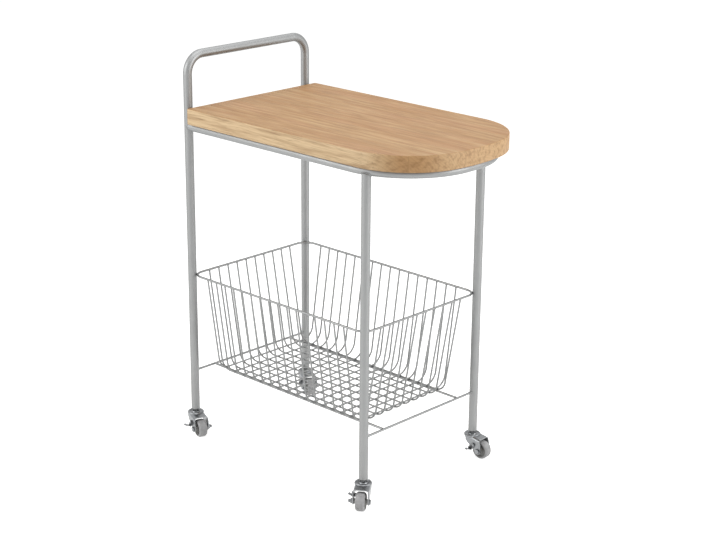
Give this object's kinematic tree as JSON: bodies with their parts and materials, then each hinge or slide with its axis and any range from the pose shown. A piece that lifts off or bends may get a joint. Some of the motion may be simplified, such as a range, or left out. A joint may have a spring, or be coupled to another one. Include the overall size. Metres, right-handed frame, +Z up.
{
  "type": "serving trolley",
  "caption": "Serving trolley with a thick solid oak top rounded at one end, a bent steel tube frame with a push handle, a fixed wire basket and small braked swivel castors.",
  "frame": {"origin": "on the floor under the middle of the bounding box, with the castors turned as stored", "axes": "+X from the push handle towards the rounded end, +Y to the left of a person pushing, +Z up"},
  "size_m": [0.6797, 0.417, 0.8705],
  "materials": {
    "oak_top": "solid oak in glued staves, oiled, matt, edges slightly eased",
    "frame_tube": "satin steel tube, fine brushing along the tube",
    "basket_wire": "satin steel wire, spot welded",
    "zinc_steel": "pressed and turned steel, bright zinc plated",
    "wheel_centre": "moulded grey plastic, fine satin",
    "wheel_tread": "moulded grey non-marking rubber, matt",
    "socket_plastic": "moulded dark plastic tube plug, matt"
  },
  "bodies": {
    "frame": {"worktop": "oak_top", "hoop_tube": "frame_tube", "ring_tube": "frame_tube", "rear_crossbar": "frame_tube", "front_leg_right": "frame_tube", "front_leg_left": "frame_tube", "mounting_tabs": "frame_tube", "top_screws": "zinc_steel", "stem_sockets": "socket_plastic", "basket_rim": "basket_wire", "basket_long_wires": "basket_wire", "basket_cross_wires": "basket_wire", "basket_runners": "basket_wire", "basket_rod_rear": "basket_wire", "basket_rod_front": "basket_wire", "rear_right_stem": "zinc_steel", "rear_left_stem": "zinc_steel", "front_right_stem": "zinc_steel", "front_left_stem": "zinc_steel"},
    "rear_right_swivel": {"rear_right_fork": "zinc_steel", "rear_right_axle": "zinc_steel", "rear_right_rivet": "zinc_steel"},
    "rear_right_wheel": {"rear_right_hub": "wheel_centre", "rear_right_tyre": "wheel_tread"},
    "rear_right_brake_lever": {"rear_right_brake": "zinc_steel"},
    "rear_left_swivel": {"rear_left_fork": "zinc_steel", "rear_left_axle": "zinc_steel", "rear_left_rivet": "zinc_steel"},
    "rear_left_wheel": {"rear_left_hub": "wheel_centre", "rear_left_tyre": "wheel_tread"},
    "rear_left_brake_lever": {"rear_left_brake": "zinc_steel"},
    "front_right_swivel": {"front_right_fork": "zinc_steel", "front_right_axle": "zinc_steel", "front_right_rivet": "zinc_steel"},
    "front_right_wheel": {"front_right_hub": "wheel_centre", "front_right_tyre": "wheel_tread"},
    "front_right_brake_lever": {"front_right_brake": "zinc_steel"},
    "front_left_swivel": {"front_left_fork": "zinc_steel", "front_left_axle": "zinc_steel", "front_left_rivet": "zinc_steel"},
    "front_left_wheel": {"front_left_hub": "wheel_centre", "front_left_tyre": "wheel_tread"},
    "front_left_brake_lever": {"front_left_brake": "zinc_steel"}
  },
  "joints": [
    {"name": "rear_right_turn", "type": "hinge", "parent": "frame", "child": "rear_right_swivel", "pos_m": [-0.3216, -0.166, 0.051], "axis": [0, 0, 1], "continuous": true},
    {"name": "rear_right_roll", "type": "hinge", "parent": "rear_right_swivel", "child": "rear_right_wheel", "pos_m": [-0.29607, -0.17479, 0.02], "axis": [0.3256, 0.9455, 0], "continuous": true},
    {"name": "rear_right_lock", "type": "hinge", "parent": "rear_right_swivel", "child": "rear_right_brake_lever", "pos_m": [-0.30647, -0.17121, 0.033], "axis": [-0.3256, -0.9455, 0], "range_deg": [0, 7]},
    {"name": "rear_left_turn", "type": "hinge", "parent": "frame", "child": "rear_left_swivel", "pos_m": [-0.3216, 0.181, 0.051], "axis": [0, 0, 1], "continuous": true},
    {"name": "rear_left_roll", "type": "hinge", "parent": "rear_left_swivel", "child": "rear_left_wheel", "pos_m": [-0.29693, 0.17002, 0.02], "axis": [0.4067, 0.9135, 0], "continuous": true},
    {"name": "rear_left_lock", "type": "hinge", "parent": "rear_left_swivel", "child": "rear_left_brake_lever", "pos_m": [-0.30698, 0.17449, 0.033], "axis": [-0.4067, -0.9135, 0], "range_deg": [0, 7]},
    {"name": "front_right_turn", "type": "hinge", "parent": "frame", "child": "front_right_swivel", "pos_m": [0.2004, -0.166, 0.051], "axis": [0, 0, 1], "continuous": true},
    {"name": "front_right_roll", "type": "hinge", "parent": "front_right_swivel", "child": "front_right_wheel", "pos_m": [0.2155, -0.18838, 0.02], "axis": [0.829, 0.5592, 0], "continuous": true},
    {"name": "front_right_lock", "type": "hinge", "parent": "front_right_swivel", "child": "front_right_brake_lever", "pos_m": [0.20935, -0.17927, 0.033], "axis": [-0.829, -0.5592, 0], "range_deg": [0, 7]},
    {"name": "front_left_turn", "type": "hinge", "parent": "frame", "child": "front_left_swivel", "pos_m": [0.2004, 0.181, 0.051], "axis": [0, 0, 1], "continuous": true},
    {"name": "front_left_roll", "type": "hinge", "parent": "front_left_swivel", "child": "front_left_wheel", "pos_m": [0.22736, 0.18241, 0.02], "axis": [-0.0523, 0.9986, 0], "continuous": true},
    {"name": "front_left_lock", "type": "hinge", "parent": "front_left_swivel", "child": "front_left_brake_lever", "pos_m": [0.21638, 0.18184, 0.033], "axis": [0.0523, -0.9986, 0], "range_deg": [0, 7]}
  ]
}
